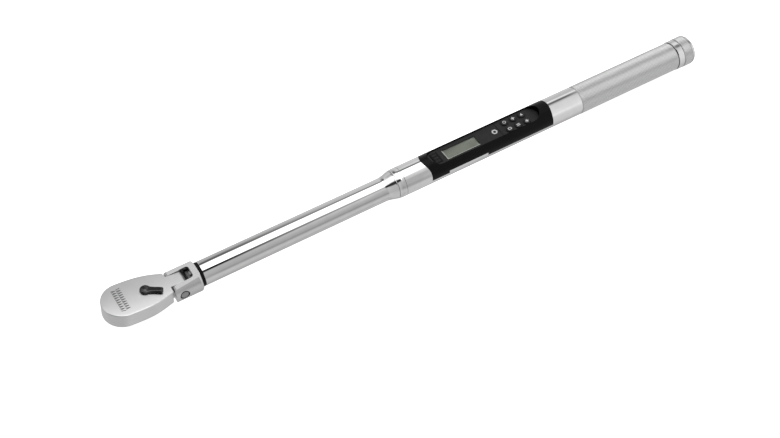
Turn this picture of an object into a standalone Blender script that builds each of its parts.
"""Flex-head electronic torque wrench with a 1/2 inch square drive.

The script builds the wrench lying level on a bench, with its head flexed up by one detent step so that
the square drive and the battery cap both touch the bench. Dimensions are in millimetres and the helper
functions turn them into metres. Stations (x) run along the tool axis from the drive axis, x = 0, to
the battery cap, and z = 0 is the tool axis. The world origin is the centre of the drive's end face.
"""

import math

import bmesh
import bpy
from mathutils import Matrix, Vector

MM = 0.001
RUN_GAP = 0.15
FIT_GAP = 0.3

# Ratchet head
HEAD_R = 21.1
HEAD_HALF = 8.9
HEAD_EDGE = 2.4
SHOULDER_X = 46.0
SHOULDER_Y = 13.3
TONGUE_Y = 7.05
EYE_R = 9.5
CAVITY_ROOF = 5.0
POCKET_X = 22.0
POCKET_R = 7.0
COVER_R = 17.8
COVER_X = 25.0
COVER_TAIL_R = 9.4
COVER_T = 1.5
COVER_SCREWS = [(-7.8, 13.5), (-7.8, -13.5), (31.6, 0.0)]

# Drive gear
GEAR_TEETH = 72
GEAR_TIP = 12.0
GEAR_ROOT = 11.55
GEAR_LOW = -4.2
GEAR_TOP = 4.6
JOURNAL_R = 9.5
SQUARE = 12.7
DRIVE_BALL_R = 2.2
DRIVE_BALL_PROUD = 0.9
DRIVE_BALL_Z = -15.4

# Pawl and reversing lever
PAWL_X = 15.1
PAWL_SWING = 5.0
PAWL_FACE_R = 12.35
PAWL_PIN_R = 1.1
LEVER_X = 22.9
LEVER_SWING = 30.0
SPINDLE_R = 3.7
LEVER_BALL_R = 1.25
LEVER_HUB_R = 5.4
LEVER_ARM = 17.2
LEVER_ARM_Y = 3.3

# Flex joint and yoke
PIN_X = 57.0
PIN_R = 4.75
FLEX_STEP = 6.5
FLEX_REST = 6.5
NOTCHES = 5
NOTCH_DEPTH = 0.45
ARM_X = 48.1
YOKE_R = 15.8
YOKE_END = 77.8
FLAT_FRONT = 9.2
FLAT_REAR = 11.5
ARM_CORNER = 3.0
PIN_LENGTH = 30.4
SLOT_Y = 7.5
SLOT_X = 71.5
DETENT_X = PIN_X + EYE_R + FIT_GAP
DETENT_T = 3.1
SPRING_START = 81.0
SPRING_END = 93.8

# Tube, beam and shoulder
TUBE_R = 12.7
TUBE_BORE = 11.05
TUBE_START = 80.9
FLARE_START = 284.8
FLARE_END = 304.3
RING_X = 298.5
TUBE_END = 307.3
SPIGOT_END = 325.5
BEAM_PIN_X = 195.0
BEAM_R = 7.5
BEAM_FLAT_X0 = 112.0
BEAM_FLAT_X1 = 178.0
BEAM_FLAT_Z = 5.5
BEAM_END = 205.0
GAUGE_X0 = 139.0
GAUGE_X1 = 151.0
CABLE_R = 0.8

# Handle
HANDLE_R = 15.875
HANDLE_BORE = 13.0
HANDLE_START = 307.7
HANDLE_END = 658.6
KNURL_START = 527.5

# Display housing and panel
HOUSING_FRONT = 332.0
HOUSING_FRONT_SIDE = 337.1
HOUSING_REAR = 490.0
HOUSING_REAR_SIDE = 488.6
SHELL_X0 = 338.0
SHELL_X1 = 484.6
SHELL_Y = 12.2
RELIEF_X0 = 357.7
RELIEF_X1 = 406.0
RELIEF_Z = 1.75
HOUSING_LOW = -1.8
PANEL_X0 = 341.4
PANEL_X1 = 478.0
PANEL_R = 11.0
PANEL_FLOOR = 8.8
PANEL_UNDER = 7.9
PLATE_LOW = 9.1
PLATE_TOP = 9.8
SEAM_X = 428.4
LCD_X0 = 361.0
LCD_X1 = 401.0
LCD_Y0 = -7.66
LCD_Y1 = 5.7
LED_X0 = 346.9
LED_X1 = 355.2
LED_Y = 7.0
BUTTON_X = 438.7
BUTTON_PITCH = 10.85
BUTTON_ROWS = [4.6, -6.2]
BUTTON_R = 3.9
BUTTON_NAMES = [
    ["power_button", "plus_button", "light_button"],
    ["mode_button", "minus_button", "memory_button"],
]
BOARD_X0 = 348.5
BOARD_X1 = 474.5
BOARD_Y = 11.2
BOARD_LOW = 3.4
BOARD_TOP = 5.0
BOSS_X = [342.2, 480.5]
BOARD_SCREW_X = [410.0, 470.5]
MAT_X0 = 431.5
MAT_X1 = 466.5
CHIP_X = 421.0
BUZZER_X = 445.0

# Batteries and cap
CELL_R = 7.15
CELL_LENGTH = 49.0
NUB_LENGTH = 1.1
CELL_STARTS = [541.3, 591.7]
SLEEVE_BORE = 7.75
SLEEVE_START = 540.8
SLEEVE_END = 642.6
CAP_R = 16.7
CAP_BAND_R = 16.4
CAP_START = 659.2
CAP_END = 682.6
CAP_DOME = 4.8
CAP_GROOVE_X = 666.8
PLUG_R = 12.4
PLUG_START = 646.5
CUP_R = 9.2
CUP_END = 670.2
ORING_X = 656.95
ORING_GROOVE_R = 10.5
ORING_R = 1.05

# The drive's end face is set so that its rear edge and the cap rest on one level bench.
TILT = math.radians(FLEX_REST)
DRIVE_TIP = -(CAP_R + (PIN_X - SQUARE / 2) * math.sin(TILT)) / math.cos(TILT)
ORIGIN_X = PIN_X - PIN_X * math.cos(TILT) + DRIVE_TIP * math.sin(TILT)
ORIGIN_Z = PIN_X * math.sin(TILT) + DRIVE_TIP * math.cos(TILT)

ALONG_X = (0.0, math.pi / 2, 0.0)
ALONG_Y = (-math.pi / 2, 0.0, 0.0)
ON_EDGE = (math.pi / 2, 0.0, 0.0)
FLAT = (0.0, 0.0, 0.0)

for leftover in list(bpy.data.objects):
    bpy.data.objects.remove(leftover, do_unlink=True)

PARTS = bpy.data.collections.new("torque_wrench")
CUTTERS = bpy.data.collections.new("cutters")
bpy.context.scene.collection.children.link(PARTS)
bpy.context.scene.collection.children.link(CUTTERS)


# ---- materials -------------------------------------------------------------------------------------

def finish(name, colour, roughness, metallic):
    """Make a Principled material."""
    material = bpy.data.materials.new(name)
    material.use_nodes = True
    shader = material.node_tree.nodes["Principled BSDF"]
    shader.inputs["Base Color"].default_value = (*colour, 1.0)
    shader.inputs["Roughness"].default_value = roughness
    shader.inputs["Metallic"].default_value = metallic
    return material


CHROME = finish("chrome", (0.80, 0.81, 0.82), 0.08, 1.0)
SATIN = finish("satin_chrome", (0.68, 0.69, 0.70), 0.25, 1.0)
KNURL = finish("knurled_chrome", (0.62, 0.63, 0.64), 0.35, 1.0)
GUNMETAL = finish("gunmetal", (0.16, 0.16, 0.17), 0.30, 1.0)
STEEL = finish("steel", (0.45, 0.45, 0.46), 0.35, 1.0)
SPRING = finish("spring_steel", (0.55, 0.55, 0.57), 0.30, 1.0)
BRASS = finish("brass", (0.72, 0.55, 0.25), 0.30, 1.0)
BLACK = finish("black_plastic", (0.025, 0.025, 0.027), 0.40, 0.0)
PANEL = finish("panel_plastic", (0.06, 0.06, 0.065), 0.45, 0.0)
RUBBER = finish("black_rubber", (0.02, 0.02, 0.02), 0.70, 0.0)
KEYS = finish("button_rubber", (0.09, 0.09, 0.095), 0.60, 0.0)
LCD = finish("lcd", (0.33, 0.35, 0.29), 0.30, 0.0)
CLEAR = finish("clear_window", (0.80, 0.82, 0.80), 0.05, 0.0)
SMOKED = finish("smoked_lens", (0.05, 0.05, 0.055), 0.15, 0.0)
BOARD = finish("circuit_board", (0.02, 0.16, 0.06), 0.50, 0.0)
CELL = finish("battery_wrap", (0.10, 0.12, 0.16), 0.40, 0.0)
WIRE = finish("cable_jacket", (0.25, 0.02, 0.02), 0.50, 0.0)
POLYMER = finish("sleeve_plastic", (0.20, 0.20, 0.21), 0.55, 0.0)
FOIL = finish("gauge_foil", (0.70, 0.45, 0.15), 0.40, 0.0)


# ---- frames of reference -----------------------------------------------------------------------------

def frame_empty(name, parent, station, turn=FLAT):
    """Place an empty that carries the pieces of one frame or joint."""
    empty = bpy.data.objects.new(name, None)
    PARTS.objects.link(empty)
    empty.parent = parent
    empty.location = Vector(station) * MM
    empty.rotation_euler = turn
    return empty


TOOL = frame_empty("tool_frame", None, (-ORIGIN_X, 0.0, -ORIGIN_Z))
FLEX = frame_empty("flex_axis", TOOL, (PIN_X, 0.0, 0.0), (0.0, TILT, 0.0))
HEAD = frame_empty("drive_axis", FLEX, (-PIN_X, 0.0, 0.0))
LEVER = frame_empty("lever_axis", HEAD, (LEVER_X, 0.0, 0.0), (0.0, 0.0, -math.radians(LEVER_SWING)))
PAWL = frame_empty("pawl_axis", HEAD, (PAWL_X, 0.0, 0.0), (0.0, 0.0, math.radians(PAWL_SWING)))


# ---- shape helpers -----------------------------------------------------------------------------------

def place(name, mesh, parent, at, turn, material):
    """Link a mesh as a part, or as a cutter when it has no material."""
    made = bpy.data.objects.new(name, mesh)
    made.parent = parent
    made.location = Vector(at) * MM
    made.rotation_euler = turn
    if material is None:
        CUTTERS.objects.link(made)
        made.hide_render = True
        made.display_type = "WIRE"
    else:
        PARTS.objects.link(made)
        mesh.materials.append(material)
    return made


def mesh_from(name, bm):
    """Turn a bmesh into a smooth-shaded mesh with crisp corners."""
    mesh = bpy.data.meshes.new(name)
    bm.to_mesh(mesh)
    bm.free()
    mesh.shade_smooth()
    mesh.set_sharp_from_angle(angle=math.radians(35))
    return mesh


def turned(name, outer, inner, parent, material, at=(0, 0, 0), turn=ALONG_X, steps=32):
    """Turn a profile about local Z. Both walls are (height, radius) pairs listed upwards.

    A piece without an inner wall is solid. An inner wall that ends on radius 0 makes a cup.
    """
    rising = [(radius, height) for height, radius in outer]
    loop = list(reversed(rising))
    if inner is None:
        loop = [(0.0, loop[0][1])] + loop + [(0.0, loop[-1][1])]
        closed = False
    else:
        loop += [(radius, height) for height, radius in inner]
        closed = inner[-1][1] > 0
        if not closed:
            loop = [(0.0, loop[0][1])] + loop
    count = len(loop)
    edges = [(i, i + 1) for i in range(count - 1)]
    if closed:
        edges.append((count - 1, 0))
    mesh = bpy.data.meshes.new(name)
    mesh.from_pydata([(radius * MM, 0.0, height * MM) for radius, height in loop], edges, [])
    made = place(name, mesh, parent, at, turn, material)
    screw = made.modifiers.new("Turn", "SCREW")
    screw.steps = steps
    screw.render_steps = steps
    screw.use_merge_vertices = True
    screw.merge_threshold = 0.00001
    screw.use_smooth_shade = True
    return made


def rod(name, radius, low, high, parent, material, at=(0, 0, 0), turn=FLAT, steps=24, chamfer=0.0):
    """Turn a plain solid rod, with chamfered ends if asked."""
    if chamfer:
        wall = [(low, radius - chamfer), (low + chamfer, radius)]
        wall += [(high - chamfer, radius), (high, radius - chamfer)]
    else:
        wall = [(low, radius), (high, radius)]
    return turned(name, wall, None, parent, material, at, turn, steps)


def mesh_of_curve(name, curve):
    """Convert a curve with filled caps into a closed mesh with plain caps."""
    holder = bpy.data.objects.new(name, curve)
    bpy.context.scene.collection.objects.link(holder)
    depsgraph = bpy.context.evaluated_depsgraph_get()
    mesh = bpy.data.meshes.new_from_object(holder.evaluated_get(depsgraph))
    bpy.data.objects.remove(holder, do_unlink=True)
    bpy.data.curves.remove(curve)
    bm = bmesh.new()
    bm.from_mesh(mesh)
    bpy.data.meshes.remove(mesh)
    bmesh.ops.remove_doubles(bm, verts=bm.verts, dist=0.000001)
    bmesh.ops.recalc_face_normals(bm, faces=bm.faces)
    return bm


def plate_bmesh(name, outline, low, high):
    """Extrude a closed outline of (x, y) points between two heights."""
    curve = bpy.data.curves.new(name, "CURVE")
    curve.dimensions = "2D"
    curve.fill_mode = "BOTH"
    curve.extrude = (high - low) / 2 * MM
    spline = curve.splines.new("POLY")
    spline.points.add(len(outline) - 1)
    for point, (x, y) in zip(spline.points, outline):
        point.co = (x * MM, y * MM, 0.0, 1.0)
    spline.use_cyclic_u = True
    bm = mesh_of_curve(name, curve)
    bmesh.ops.dissolve_limit(bm, angle_limit=0.001, verts=bm.verts, edges=bm.edges)
    bmesh.ops.translate(bm, verts=bm.verts, vec=(0.0, 0.0, (low + high) / 2 * MM))
    return bm


def plate(name, outline, low, high, parent, material, at=(0, 0, 0), turn=FLAT):
    """Make a flat piece or cutter from an outline."""
    return place(name, mesh_from(name, plate_bmesh(name, outline, low, high)), parent, at, turn, material)


def block(name, low, high, parent, material, edge=0.0):
    """Make a box between two corners, with rounded edges if asked."""
    bm = bmesh.new()
    size = Vector(high) - Vector(low)
    centre = (Vector(high) + Vector(low)) / 2
    grow = Matrix.Diagonal((*(size * MM), 1.0))
    bmesh.ops.create_cube(bm, size=1.0, matrix=Matrix.Translation(centre * MM) @ grow)
    made = place(name, mesh_from(name, bm), parent, (0, 0, 0), FLAT, material)
    if edge:
        soften(made, edge)
    return made


def soften(part, width, segments=2, angle=30):
    """Round the edges of a part."""
    bevel = part.modifiers.new("Edges", "BEVEL")
    bevel.width = width * MM
    bevel.segments = segments
    bevel.limit_method = "ANGLE"
    bevel.angle_limit = math.radians(angle)


def combine(part, other, operation):
    """Cut a part by another solid, join them, or keep what they share."""
    boolean = part.modifiers.new(operation.title(), "BOOLEAN")
    boolean.operation = operation
    boolean.solver = "EXACT"
    boolean.object = other


def cut(part, *cutters):
    """Cut a part by each of the cutters."""
    for cutter in cutters:
        combine(part, cutter, "DIFFERENCE")


def ball(name, radius, parent, at, material):
    """Make a small steel ball."""
    bm = bmesh.new()
    bmesh.ops.create_uvsphere(bm, u_segments=12, v_segments=8, radius=radius * MM)
    return place(name, mesh_from(name, bm), parent, at, FLAT, material)


def wire(name, points, radius, parent, material):
    """Sweep a round wire along a list of points, with closed ends."""
    curve = bpy.data.curves.new(name, "CURVE")
    curve.dimensions = "3D"
    curve.bevel_depth = radius * MM
    curve.bevel_resolution = 2
    curve.use_fill_caps = True
    spline = curve.splines.new("POLY")
    spline.points.add(len(points) - 1)
    for point, place_at in zip(spline.points, points):
        point.co = (*(Vector(place_at) * MM), 1.0)
    return place(name, mesh_from(name, mesh_of_curve(name, curve)), parent, (0, 0, 0), FLAT, material)


def coil(name, start, end, radius, wire_radius, turns, parent, material, per_turn=7):
    """Wind a compression spring from start to end, both points on its axis."""
    start = Vector(start)
    axis = Vector(end) - start
    along = axis.normalized()
    side = along.orthogonal().normalized()
    across = along.cross(side)
    count = turns * per_turn
    points = []
    for step in range(count + 1):
        turn = 2 * math.pi * step / per_turn
        around = side * math.cos(turn) + across * math.sin(turn)
        points.append(start + axis * (step / count) + around * radius)
    return wire(name, points, wire_radius, parent, material)


def smooth_route(stops, steps=5):
    """Read points from a smooth curve through a cable's stops."""
    stops = [Vector(stop) for stop in stops]
    padded = [stops[0] * 2 - stops[1]] + stops + [stops[-1] * 2 - stops[-2]]
    route = []
    for before, here, there, after in zip(padded, padded[1:], padded[2:], padded[3:]):
        for step in range(steps):
            t = step / steps
            bend = (before * 2 - here * 5 + there * 4 - after) * t * t
            twist = (here * 3 - before - there * 3 + after) * t ** 3
            route.append((here * 2 + (there - before) * t + bend + twist) / 2)
    route.append(stops[-1])
    return route


def arc(centre_x, centre_y, radius, first, last, steps):
    """List points on an arc, angles in degrees."""
    sweep = [math.radians(first + (last - first) * i / steps) for i in range(steps + 1)]
    return [(centre_x + radius * math.cos(a), centre_y + radius * math.sin(a)) for a in sweep]


def bezier(start, pull, push, end, steps):
    """List points on a cubic curve, leaving out its start."""
    points = []
    for i in range(1, steps + 1):
        t = i / steps
        weights = ((1 - t) ** 3, 3 * t * (1 - t) ** 2, 3 * t * t * (1 - t), t ** 3)
        sets = (start, pull, push, end)
        points.append(tuple(sum(w * p[k] for w, p in zip(weights, sets)) for k in (0, 1)))
    return points


def teardrop(radius, tail_x, tail_radius, steps=14):
    """Outline the hull of a circle at 0 and a smaller one at tail_x."""
    lean = math.degrees(math.asin((radius - tail_radius) / tail_x))
    front = arc(0, 0, radius, 90 - lean, 270 + lean, steps)
    tail = arc(tail_x, 0, tail_radius, -90 + lean, 90 - lean, steps // 2)
    return front + tail


def rounded_box(x0, x1, y0, y1, radius, steps=5):
    """Outline a rectangle with round corners."""
    outline = arc(x1 - radius, y1 - radius, radius, 0, 90, steps)
    outline += arc(x0 + radius, y1 - radius, radius, 90, 180, steps)
    outline += arc(x0 + radius, y0 + radius, radius, 180, 270, steps)
    outline += arc(x1 - radius, y0 + radius, radius, 270, 360, steps)
    return outline


def socket(part, name, radius, low, high, parent, at):
    """Sink a hexagonal driver recess into a screw head."""
    cut(part, rod(name, radius, low, high, parent, None, at, FLAT, 6))


# ---- ratchet head ------------------------------------------------------------------------------------

def head_outline():
    """Outline the head and its tongue, seen from above."""
    side = bezier((0, HEAD_R), (22, HEAD_R), (27.4, 20.2), (SHOULDER_X, SHOULDER_Y), 8)
    outline = arc(0, 0, HEAD_R, 90, 270, 16)
    outline += [(x, -y) for x, y in side]
    outline += [(SHOULDER_X, -TONGUE_Y), (SHOULDER_X + 24, -TONGUE_Y)]
    outline += [(SHOULDER_X + 24, TONGUE_Y), (SHOULDER_X, TONGUE_Y)]
    outline += list(reversed(side))
    return outline


def tongue_end_outline():
    """Outline what is cut away behind the tongue: a round end with detent notches."""
    spread = math.degrees(math.asin(HEAD_HALF / EYE_R)) + 4
    angles = []
    for step in range(17):
        angles.append((spread - 2 * spread * step / 16, EYE_R))
    half_notch = math.degrees(NOTCH_DEPTH / EYE_R)
    first = -(NOTCHES - 1) / 2 * FLEX_STEP
    centres = [first + FLEX_STEP * i for i in range(NOTCHES)]
    angles = [(a, r) for a, r in angles if min(abs(a - c) for c in centres) > half_notch + 1]
    for centre in centres:
        angles += [(centre + half_notch, EYE_R), (centre, EYE_R - NOTCH_DEPTH), (centre - half_notch, EYE_R)]
    angles.sort(reverse=True)
    rim = [(PIN_X + r * math.cos(math.radians(a)), r * math.sin(math.radians(a))) for a, r in angles]
    return rim + [(SHOULDER_X + 30, -HEAD_HALF - 3), (SHOULDER_X + 30, HEAD_HALF + 3)]


def make_head_housing():
    """Forge the head: rounded outline, tongue with notches, and the hollows for the ratchet."""
    bm = plate_bmesh("head_housing", head_outline(), -HEAD_HALF, HEAD_HALF)
    rim = []
    for edge in bm.edges:
        ends = [v.co / MM for v in edge.verts]
        level = all(abs(abs(p.z) - HEAD_HALF) < 0.01 for p in ends) and abs(ends[0].z - ends[1].z) < 0.01
        if level and min(p.x for p in ends) < SHOULDER_X - 0.1:
            rim.append(edge)
    bmesh.ops.bevel(bm, geom=rim, offset=HEAD_EDGE * MM, segments=3, profile=0.5, affect="EDGES")
    head = place("head_housing", mesh_from("head_housing", bm), HEAD, (0, 0, 0), FLAT, SATIN)
    cavity = [(-10, GEAR_TIP + 0.4), (CAVITY_ROOF, GEAR_TIP + 0.4), (CAVITY_ROOF, 6.3), (6.2, 6.3)]
    pocket = teardrop(GEAR_TIP + 0.35, POCKET_X, POCKET_R)
    recess = teardrop(COVER_R + 0.25, COVER_X, COVER_TAIL_R + 0.25)
    cut(
        head,
        plate("tongue_end_cut", tongue_end_outline(), -12, 12, HEAD, None, (0, 0, 0), ON_EDGE),
        turned("gear_cavity_cut", cavity, None, HEAD, None, turn=FLAT),
        plate("pawl_pocket_cut", pocket, -10, CAVITY_ROOF - 0.1, HEAD, None),
        plate("cover_recess_cut", recess, -10, -HEAD_HALF + COVER_T + 0.25, HEAD, None),
        rod("spindle_bore_cut", SPINDLE_R + FIT_GAP, 3, 10, HEAD, None, (LEVER_X, 0, 0)),
        rod("eye_cut", PIN_R + RUN_GAP, -10, 10, HEAD, None, (PIN_X, 0, 0), ALONG_Y, 32),
        rod("pawl_pin_seat_cut", PAWL_PIN_R + FIT_GAP, 3, 6.7, HEAD, None, (PAWL_X, 0, 0), FLAT, 16),
    )
    for number, (x, y) in enumerate(COVER_SCREWS, 1):
        cut(head, rod(f"cover_screw_hole_cut_{number}", 1.3, -10, -1.6, HEAD, None, (x, y, 0), FLAT, 16))
    return head


def make_head_cover():
    """Close the head from below with a plate and three screws."""
    outline = teardrop(COVER_R, COVER_X, COVER_TAIL_R)
    low = -HEAD_HALF
    cover = plate("head_cover", outline, low, low + COVER_T, HEAD, SATIN)
    cut(cover, rod("journal_hole_cut", JOURNAL_R + RUN_GAP, -12, 0, HEAD, None, (0, 0, 0), FLAT, 32))
    for number, (x, y) in enumerate(COVER_SCREWS, 1):
        sink = [(-10, 2.3), (low + 1.15, 2.3), (low + 1.15, 1.3), (0, 1.3)]
        cut(cover, turned(f"cover_sink_cut_{number}", sink, None, HEAD, None, (x, y, 0), FLAT, 16))
        name = f"cover_screw_{number}"
        wall = [(low + 0.05, 2.0), (low + 0.85, 2.0), (low + 0.85, 1.0), (-2.2, 1.0)]
        screw = turned(name, wall, None, HEAD, STEEL, (x, y, 0), FLAT, 12)
        socket(screw, f"{name}_socket_cut", 1.0, low - 1, low + 0.5, HEAD, (x, y, 0))
    rod("pawl_pin", PAWL_PIN_R, -HEAD_HALF + COVER_T + FIT_GAP, 6.4, HEAD, STEEL, (PAWL_X, 0, 0), FLAT, 16)


def gear_outline(tip, root):
    """Outline the fine teeth of the drive gear."""
    outline = []
    for half_tooth in range(2 * GEAR_TEETH):
        radius = root if half_tooth % 2 == 0 else tip
        angle = math.pi * half_tooth / GEAR_TEETH
        outline.append((radius * math.cos(angle), radius * math.sin(angle)))
    return outline


def make_drive():
    """Make the drive gear with its journals and square, and the ball that keeps a socket on it."""
    gear = plate("drive_gear", gear_outline(GEAR_TIP, GEAR_ROOT), GEAR_LOW, GEAR_TOP, HEAD, STEEL)
    core = [(-HEAD_HALF + 0.05, JOURNAL_R), (-4.0, JOURNAL_R), (-4.0, 6.0), (5.9, 6.0)]
    combine(gear, turned("drive_core", core, None, HEAD, None, turn=FLAT), "UNION")
    half = SQUARE / 2
    square = block("drive_square", (-half, -half, DRIVE_TIP), (half, half, -6), HEAD, None)
    soften(square, 0.8, 1)
    combine(gear, square, "UNION")
    ball_line = (0, 0, DRIVE_BALL_Z)
    cut(gear, rod("ball_bore_cut", DRIVE_BALL_R + RUN_GAP, -10, 3.6, HEAD, None, ball_line, ALONG_Y, 20))
    middle = -half - DRIVE_BALL_PROUD + DRIVE_BALL_R
    ball("drive_ball", DRIVE_BALL_R, HEAD, (0, middle, DRIVE_BALL_Z), SPRING)
    low = middle + DRIVE_BALL_R + 1.3
    coil("drive_ball_spring", (0, low, DRIVE_BALL_Z), (0, 3.0, DRIVE_BALL_Z), 1.4, 0.3, 4, HEAD, SPRING)


def pawl_outline():
    """Outline the double-ended pawl about its pin, halfway between its two positions."""
    face = arc(-PAWL_X, 0, PAWL_FACE_R, -38, 38, 20)
    back_centre = LEVER_X - PAWL_X
    back = arc(back_centre, 0, 5.25, 152, 208, 8)
    return face + [(-4.1, 9.0), (0.2, 7.2)] + back + [(0.2, -7.2), (-4.1, -9.0)]


def make_pawl():
    """Make the pawl, with teeth cut at both ends to match the gear in either position."""
    pawl = plate("pawl", pawl_outline(), GEAR_LOW + 0.2, GEAR_TOP - 0.2, PAWL, STEEL)
    cut(pawl, rod("pawl_bore_cut", PAWL_PIN_R + RUN_GAP, -10, 10, PAWL, None, (0, 0, 0), FLAT, 16))
    for side in (-1, 1):
        turn = math.radians(side * PAWL_SWING)
        centre = (-PAWL_X * math.cos(turn), -PAWL_X * math.sin(turn), 0)
        teeth = gear_outline(GEAR_TIP + 0.2, GEAR_ROOT + 0.2)
        cut(pawl, plate(f"pawl_teeth_cut_{side + 2}", teeth, -9, 9, PAWL, None, centre, (0, 0, turn)))


def make_lever():
    """Make the reversing lever and the ball and spring that tip the pawl."""
    top = HEAD_HALF + FIT_GAP
    wall = [(-5.2, SPINDLE_R - 0.4), (-4.8, SPINDLE_R), (top, SPINDLE_R), (top, LEVER_HUB_R)]
    wall += [(top + 1.1, LEVER_HUB_R), (top + 1.9, LEVER_HUB_R - 0.5), (top + 2.5, 3.4), (top + 2.8, 1.7)]
    lever = turned("reversing_lever", wall, None, LEVER, GUNMETAL, turn=FLAT, steps=24)
    side = [(0, top), (LEVER_ARM, top), (LEVER_ARM, top + 2.6), (LEVER_ARM - 1.4, top + 3.1)]
    side += [(7.0, top + 1.9), (0, top + 1.9)]
    arm = plate("lever_arm", side, -LEVER_ARM_Y, LEVER_ARM_Y, LEVER, None, (0, 0, 0), ON_EDGE)
    soften(arm, 0.7)
    combine(lever, arm, "UNION")
    bore_at = (0, 0, (GEAR_LOW + GEAR_TOP) / 2)
    bore = rod("lever_ball_bore_cut", LEVER_BALL_R + RUN_GAP, -6, 2.2, LEVER, None, bore_at, ALONG_X, 16)
    cut(lever, bore)
    ball("lever_ball", LEVER_BALL_R, LEVER, (-SPINDLE_R + 0.05, 0, bore_at[2]), SPRING)
    start = (-SPINDLE_R + 0.05 + LEVER_BALL_R + 0.3, 0, bore_at[2])
    coil("lever_spring", start, (1.7, 0, bore_at[2]), 0.85, 0.2, 3, LEVER, SPRING)


# ---- flex joint, beam and tube -----------------------------------------------------------------------

def flat_height(x):
    """Height of the yoke's sloping flats at a station."""
    return FLAT_FRONT + (x - ARM_X) * (FLAT_REAR - FLAT_FRONT) / (YOKE_END - ARM_X)


def yoke_beam_wall():
    """List the outer wall of the yoke and the sensing beam behind it, front to back."""
    land = TUBE_BORE - 0.2
    seat = TUBE_START + 0.4
    wall = [(ARM_X, YOKE_R - 0.9), (ARM_X + 0.9, YOKE_R), (YOKE_END - 2.6, YOKE_R)]
    wall += [(YOKE_END - 1.3, YOKE_R - 0.35), (YOKE_END - 0.35, YOKE_R - 1.3), (YOKE_END, YOKE_R - 2.6)]
    wall += [(YOKE_END, 10.0), (seat, 10.0), (seat, land), (seat + 15, land), (seat + 17, BEAM_R + 1)]
    wall += [(seat + 26, BEAM_R), (BEAM_END - 25, BEAM_R), (BEAM_END - 20, BEAM_R + 1)]
    return wall + [(BEAM_END - 18, land), (BEAM_END, land)]


def cut_yoke_side(yoke, side, label):
    """Cut one sloping flat, the round front corner of the arms below it, and the beam's flat."""
    ends = (ARM_X - 5, YOKE_END + 5)
    wedge = [(x, side * flat_height(x)) for x in ends] + [(x, side * 20) for x in reversed(ends)]
    cut(yoke, plate(f"yoke_flat_cut_{label}", wedge, -20, 20, TOOL, None, (0, 0, 0), ON_EDGE))
    corner_x = ARM_X + ARM_CORNER
    corner_z = side * (flat_height(corner_x) - ARM_CORNER)
    outside = arc(corner_x, corner_z, ARM_CORNER, side * 90, side * 180, 6)
    outside += [(ARM_X - 3, corner_z), (ARM_X - 3, side * 20), (corner_x, side * 20)]
    cut(yoke, plate(f"arm_corner_cut_{label}", outside, -20, 20, TOOL, None, (0, 0, 0), ON_EDGE))
    low, high = sorted((side * BEAM_FLAT_Z, side * 12))
    corners = ((BEAM_FLAT_X0, -12, low), (BEAM_FLAT_X1, 12, high))
    cut(yoke, block(f"beam_flat_cut_{label}", *corners, TOOL, None))


def make_yoke_beam():
    """Make the yoke and the sensing beam in one piece, and glue a strain gauge to each of its flats."""
    yoke = turned("yoke_beam", yoke_beam_wall(), None, TOOL, SATIN)
    slot = rounded_box(ARM_X - 20, SLOT_X, -SLOT_Y, SLOT_Y, 3.0)
    cut(yoke, plate("slot_cut", slot, -20, 20, TOOL, None))
    cut_yoke_side(yoke, 1, "top")
    cut_yoke_side(yoke, -1, "bottom")
    cut(
        yoke,
        rod("pin_hole_cut", PIN_R + 0.2, -20, 20, TOOL, None, (PIN_X, 0, 0), ALONG_Y, 32),
        rod("detent_bore_cut", 3.6, SLOT_X - 2, SPRING_END + 0.6, TOOL, None, (0, 0, 0), ALONG_X, 24),
        block("cable_notch_cut", (BEAM_FLAT_X1 - 2, -1.6, 7.2), (BEAM_END + 2, 1.6, 12), TOOL, None),
        rod("beam_pin_hole_cut", 2.2, -15, -2, TOOL, None, (BEAM_PIN_X, 0, 0), FLAT, 20),
    )
    for side, label in ((1, "top"), (-1, "bottom")):
        low, high = sorted((side * (BEAM_FLAT_Z + FIT_GAP), side * (BEAM_FLAT_Z + FIT_GAP + 0.4)))
        block(f"strain_gauge_{label}", (GAUGE_X0, -3, low), (GAUGE_X1, 3, high), TOOL, FOIL)


def make_flex_parts():
    """Make the flex pin and the spring detent that faces the tongue's notches."""
    rod("flex_pin", PIN_R, -PIN_LENGTH / 2, PIN_LENGTH / 2, TOOL, STEEL, (PIN_X, 0, 0), ALONG_Y, 32, 0.4)
    detent = block("flex_detent", (DETENT_X, -6.0, -6.0), (DETENT_X + DETENT_T, 6.0, 6.0), TOOL, STEEL, 0.3)
    ends = (DETENT_X + 0.8, SPRING_START - 1.6)
    combine(detent, rod("detent_stem", 3.35, *ends, TOOL, None, (0, 0, 0), ALONG_X, 24, 0.4), "UNION")
    coil("detent_spring", (SPRING_START, 0, 0), (SPRING_END, 0, 0), 2.7, 0.4, 4, TOOL, SPRING)


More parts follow.
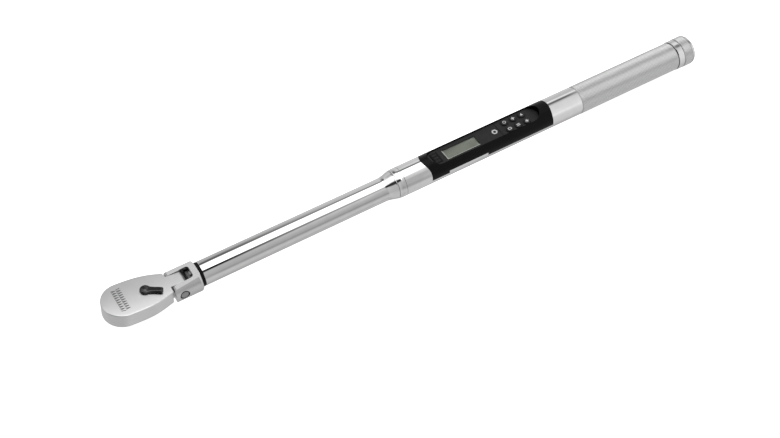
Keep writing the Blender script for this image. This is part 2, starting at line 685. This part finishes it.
def make_tube():
    """Make the long tube, its shoulder with two fine rings, the seal ring and the beam pin."""
    ends = (YOKE_END + FIT_GAP, TUBE_START - FIT_GAP)
    outer = [(x, TUBE_R) for x in ends]
    turned("seal_ring", outer, [(x, 10.3) for x in ends], TOOL, RUBBER)
    wall = [(TUBE_START, TUBE_R - 0.4), (TUBE_START + 0.4, TUBE_R), (FLARE_START, TUBE_R)]
    rise = HANDLE_R - TUBE_R

    def flare_radius(x):
        share = (x - FLARE_START) / (FLARE_END - FLARE_START)
        return TUBE_R + rise * (1 - math.cos(math.pi * share)) / 2

    stations = [FLARE_START + 2.6 * i for i in range(1, 6)] + [RING_X - 0.5]
    wall += [(x, flare_radius(x)) for x in stations]
    wall.append((RING_X, flare_radius(RING_X) - 0.4))
    wall += [(x, flare_radius(x)) for x in (RING_X + 0.5, RING_X + 2.4, RING_X + 4.2, FLARE_END)]
    wall += [(TUBE_END - 0.4, HANDLE_R), (TUBE_END, HANDLE_R - 0.4), (TUBE_END, TUBE_R), (SPIGOT_END, TUBE_R)]
    tube = turned("tube", wall, [(TUBE_START, TUBE_BORE), (SPIGOT_END, TUBE_BORE)], TOOL, CHROME)
    cut(tube, rod("tube_pin_hole_cut", 2.2, -16, -8, TOOL, None, (BEAM_PIN_X, 0, 0), FLAT, 20))
    rod("beam_pin", 2.0, -TUBE_R + 0.1, -2.4, TOOL, STEEL, (BEAM_PIN_X, 0, 0), FLAT, 16, 0.3)
    stops = [(GAUGE_X1 + 0.5, 0, 6.9), (165, 0, 7.4), (BEAM_FLAT_X1, 0, 8.9), (BEAM_END + 1, 0, 8.9)]
    stops += [(235, 0, 4), (290, 1, -1)]
    stops += [(324, 3, -3.2), (335, 5.5, -3.4), (345, 6.8, -2.4), (352, 6.8, 0.2), (358, 6.8, 2.3)]
    wire("gauge_cable", smooth_route(stops, 2), CABLE_R, TOOL, WIRE)


# ---- handle and display ------------------------------------------------------------------------------

def bow(y):
    """Share of the housing ends' bow at a distance from the middle, 0 on the crown and 1 at the sides."""
    return 1 - (1 - min(1.0, (y / HANDLE_R) ** 2)) ** 2


def saddle_outline(gap):
    """Outline the display housing from above, bowed at both ends; gap shrinks it."""
    reach = HANDLE_R + 4
    points = []
    for step in range(13):
        y = -reach + 2 * reach * step / 12
        points.append((HOUSING_REAR + (HOUSING_REAR_SIDE - HOUSING_REAR) * bow(y) - gap, y))
    for step in range(13):
        y = reach - 2 * reach * step / 12
        points.append((HOUSING_FRONT + (HOUSING_FRONT_SIDE - HOUSING_FRONT) * bow(y) + gap, y))
    return points


def make_handle():
    """Make the handle tube, with its top half cut away for the display housing."""
    wall = [(HANDLE_START, HANDLE_R - 0.4), (HANDLE_START + 0.4, HANDLE_R)]
    wall += [(KNURL_START - 0.5, HANDLE_R), (KNURL_START, HANDLE_R - 0.45), (KNURL_START + 0.5, HANDLE_R)]
    wall += [(HANDLE_END - 0.5, HANDLE_R), (HANDLE_END, HANDLE_R - 0.5)]
    bore = [(HANDLE_START, HANDLE_BORE), (HANDLE_END, HANDLE_BORE)]
    handle = turned("handle_tube", wall, bore, TOOL, CHROME)
    opening = plate("housing_seat_cut", saddle_outline(0.0), HOUSING_LOW, 20, TOOL, None)
    gap = FIT_GAP
    low = HOUSING_LOW - 2
    tab = block("seat_tab", (RELIEF_X0 + gap, -20, low), (RELIEF_X1 - gap, 20, RELIEF_Z - gap), TOOL, None)
    cut(opening, tab)
    cut(handle, opening)
    for number, x in enumerate(BOSS_X, 1):
        sink = [(-18, 3.0), (-14.3, 3.0), (-14.3, 1.8), (-11, 1.8)]
        cut(handle, turned(f"handle_screw_hole_cut_{number}", sink, None, TOOL, None, (x, 0, 0), FLAT, 20))
        name = f"housing_screw_{number}"
        shape = [(-15.6, 2.7), (-14.6, 2.7), (-14.6, 1.2), (-1.5, 1.2)]
        screw = turned(name, shape, None, TOOL, STEEL, (x, 0, 0), FLAT, 16)
        socket(screw, f"{name}_socket_cut", 1.3, -17, -15.0, TOOL, (x, 0, 0))


def panel_outline(gap):
    """Outline the round-ended recess of the panel; gap shrinks it."""
    radius = PANEL_R - gap
    outline = arc(PANEL_X1 - PANEL_R, 0, radius, -90, 90, 12)
    return outline + arc(PANEL_X0 + PANEL_R, 0, radius, 90, 270, 12)


def button_places():
    """List each button's name and centre."""
    for row, names in enumerate(BUTTON_NAMES):
        for column, name in enumerate(names):
            yield name, BUTTON_X + BUTTON_PITCH * column, BUTTON_ROWS[row]


def boss(name, x, radius, hole, low, hole_end):
    """Make a screw boss that hangs from the panel floor, with a blind hole from below."""
    wall = [(low, radius), (PANEL_UNDER + 0.5, radius)]
    bore = [(low, hole), (hole_end, hole), (hole_end, 0)]
    return turned(name, wall, bore, TOOL, None, (x, 0, 0), FLAT, 20)


def make_housing():
    """Mould the display housing: a half shell with a recessed panel, bosses and openings."""
    ends = (HOUSING_FRONT - 7, HOUSING_REAR + 7)
    shell = turned("display_housing", [(x, HANDLE_R) for x in ends], None, TOOL, BLACK)
    keep = plate("saddle_keep", saddle_outline(FIT_GAP), HOUSING_LOW + FIT_GAP, 20, TOOL, None)
    combine(shell, keep, "INTERSECT")
    inside = rounded_box(SHELL_X0, SHELL_X1, -SHELL_Y, SHELL_Y, 3)
    cut(shell, plate("shell_inside_cut", inside, HOUSING_LOW - 1, PANEL_UNDER, TOOL, None))
    for number, x in enumerate(BOSS_X, 1):
        combine(shell, boss(f"housing_boss_{number}", x, 3.2, 1.5, -9.5, -1.0), "UNION")
    for number, x in enumerate(BOARD_SCREW_X, 1):
        combine(shell, boss(f"board_boss_{number}", x, 2.4, 1.1, BOARD_TOP + FIT_GAP, 7.7), "UNION")
    lcd_hole = ((LCD_X0 - 1.3, LCD_Y0 - 1.2, 6), (LCD_X1 + 1.3, LCD_Y1 + 1.2, 12))
    led_hole = ((LED_X0 - 0.3, -LED_Y - 0.3, 6), (LED_X1 + 0.3, LED_Y + 0.3, 12))
    cut(
        shell,
        plate("panel_recess_cut", panel_outline(0.0), PANEL_FLOOR, 20, TOOL, None),
        block("relief_cut", (RELIEF_X0, -20, HOUSING_LOW - 1), (RELIEF_X1, 20, RELIEF_Z), TOOL, None),
        block("lcd_opening_cut", *lcd_hole, TOOL, None),
        block("led_opening_cut", *led_hole, TOOL, None),
    )
    for name, x, y in button_places():
        cut(shell, rod(f"{name}_floor_cut", BUTTON_R + FIT_GAP, 6, 12, TOOL, None, (x, y, 0), FLAT, 16))


def make_panel():
    """Make what fills the panel recess: bezel, window, display, indicator lens and keypad plate."""
    keep_left = ((PANEL_X0 - 5, -20, 8), (SEAM_X - 0.25, 20, 12))
    keep_right = ((SEAM_X + 0.25, -20, 8), (PANEL_X1 + 5, 20, 12))
    bezel = plate("display_bezel", panel_outline(0.25), PLATE_LOW, PLATE_TOP, TOOL, PANEL)
    combine(bezel, block("bezel_keep", *keep_left, TOOL, None), "INTERSECT")
    led_edge = ((LED_X0 - 0.3, -LED_Y - 0.3, 8), (LED_X1 + 0.3, LED_Y + 0.3, 12))
    cut(
        bezel,
        block("bezel_lcd_cut", (LCD_X0, LCD_Y0, 8), (LCD_X1, LCD_Y1, 12), TOOL, None),
        block("bezel_led_cut", *led_edge, TOOL, None),
    )
    keypad = plate("keypad_plate", panel_outline(0.25), PLATE_LOW, PLATE_TOP, TOOL, PANEL)
    combine(keypad, block("keypad_keep", *keep_right, TOOL, None), "INTERSECT")
    for name, x, y in button_places():
        hole = rod(f"{name}_hole_cut", BUTTON_R + FIT_GAP, 8, 12, TOOL, None, (x, y, 0), FLAT, 16)
        cut(keypad, hole)
    window = ((LCD_X0 + 0.3, LCD_Y0 + 0.3, PLATE_LOW), (LCD_X1 - 0.3, LCD_Y1 - 0.3, PLATE_TOP - 0.2))
    block("lcd_window", *window, TOOL, CLEAR)
    block("lcd_module", (LCD_X0 - 0.9, LCD_Y0 - 0.8, 5.6), (LCD_X1 + 0.9, LCD_Y1 + 0.8, 8.7), TOOL, LCD)
    block("led_lens", (LED_X0, -LED_Y, 8.2), (LED_X1, LED_Y, PLATE_TOP + 0.5), TOOL, SMOKED, 0.4)


def make_buttons():
    """Make the six domed buttons, each with a flange under the panel floor."""
    wall = [(6.9, BUTTON_R + 0.8), (7.6, BUTTON_R + 0.8), (7.6, BUTTON_R), (10.6, BUTTON_R)]
    wall += [(11.0, BUTTON_R - 0.4), (11.3, BUTTON_R - 1.5)]
    for name, x, y in button_places():
        turned(name, wall, None, TOOL, KEYS, (x, y, 0), FLAT, 16)


def make_electronics():
    """Make the main board and what is fixed to it."""
    board = block("main_board", (BOARD_X0, -BOARD_Y, BOARD_LOW), (BOARD_X1, BOARD_Y, BOARD_TOP), TOOL, BOARD)
    for number, x in enumerate(BOARD_SCREW_X, 1):
        cut(board, rod(f"board_hole_cut_{number}", 1.1, 2, 6, TOOL, None, (x, 0, 0), FLAT, 12))
        wall = [(2.2, 1.9), (3.1, 1.9), (3.1, 0.8), (7.4, 0.8)]
        turned(f"board_screw_{number}", wall, None, TOOL, STEEL, (x, 0, 0), FLAT, 12)
    block("keypad_mat", (MAT_X0, -10.2, 5.3), (MAT_X1, 10.2, 5.9), TOOL, RUBBER)
    block("processor_chip", (CHIP_X - 5, -5, 1.9), (CHIP_X + 5, 5, 3.1), TOOL, RUBBER, 0.2)
    rod("buzzer", 5.5, -0.4, 3.1, TOOL, POLYMER, (BUZZER_X, 0, 0), FLAT, 24, 0.4)


# ---- battery compartment -----------------------------------------------------------------------------

def make_batteries():
    """Make the battery sleeve, its contacts and the two AA cells."""
    low, high = SLEEVE_START, SLEEVE_END
    wall = [(low, 12.6), (low + 3, 12.6), (low + 3, 9.3), (high - 3, 9.3), (high - 3, 12.6), (high, 12.6)]
    turned("battery_sleeve", wall, [(low, SLEEVE_BORE), (high, SLEEVE_BORE)], TOOL, POLYMER, steps=24)
    rod("contact_board", 12.6, low - 4.0, low - 2.4, TOOL, BOARD, (0, 0, 0), ALONG_X)
    contact = [(low - 2.1, 4.0), (low - 1.4, 4.0), (low + 0.1, 2.0)]
    turned("front_contact", contact, None, TOOL, BRASS, steps=16)
    for name, start in zip(("front_cell", "rear_cell"), CELL_STARTS):
        body = start + NUB_LENGTH
        end = body + CELL_LENGTH
        wall = [(start, 2.7), (body, 2.7), (body, CELL_R - 0.4), (body + 0.4, CELL_R)]
        wall += [(end - 0.4, CELL_R), (end, CELL_R - 0.4)]
        turned(name, wall, None, TOOL, CELL, steps=16)
    stops = [(low - 4.4, 4, 3), (524, 5, 2), (510, 6, -0.5), (496, 6.6, -3.2), (484, 6.8, -3.4)]
    stops += [(474, 6.8, -1), (467, 6.6, 2.3)]
    wire("battery_cable", smooth_route(stops, 2), CABLE_R, TOOL, WIRE)


def make_cap():
    """Make the screw cap: plug with O-ring groove, polished band, groove and domed end."""
    wall = [(PLUG_START, PLUG_R - 0.5), (PLUG_START + 0.5, PLUG_R), (ORING_X - 1.35, PLUG_R)]
    wall += [(ORING_X + dx, ORING_GROOVE_R) for dx in (-1.35, 1.35)]
    wall += [(ORING_X + 1.35, PLUG_R), (CAP_START, PLUG_R)]
    wall += [(CAP_START, CAP_BAND_R - 0.4), (CAP_START + 0.4, CAP_BAND_R), (CAP_GROOVE_X - 0.7, CAP_BAND_R)]
    wall += [(CAP_GROOVE_X + dx, CAP_BAND_R - 0.5) for dx in (-0.3, 0.3)]
    wall.append((CAP_GROOVE_X + 0.7, CAP_R))
    centre = CAP_END - CAP_DOME
    for step in range(5):
        angle = math.pi / 2 * step / 4
        wall.append((centre + CAP_DOME * math.sin(angle), CAP_R - CAP_DOME * (1 - math.cos(angle))))
    cup = [(PLUG_START, CUP_R), (CUP_END, CUP_R), (CUP_END, 0)]
    turned("battery_cap", wall, cup, TOOL, KNURL)
    coil("cap_spring", (SLEEVE_END - 0.3, 0, 0), (CUP_END - 1.0, 0, 0), 5.2, 0.5, 4, TOOL, SPRING)
    bpy.ops.mesh.primitive_torus_add(
        major_radius=(ORING_GROOVE_R + ORING_R + 0.2) * MM,
        minor_radius=ORING_R * MM,
        major_segments=24,
        minor_segments=6,
    )
    made = bpy.context.active_object
    mesh = made.data
    bpy.data.objects.remove(made, do_unlink=True)
    mesh.shade_smooth()
    place("cap_oring", mesh, TOOL, (ORING_X, 0, 0), ALONG_X, RUBBER)


make_head_housing()
make_head_cover()
make_drive()
make_pawl()
make_lever()
make_yoke_beam()
make_flex_parts()
make_tube()
make_handle()
make_housing()
make_panel()
make_buttons()
make_electronics()
make_batteries()
make_cap()
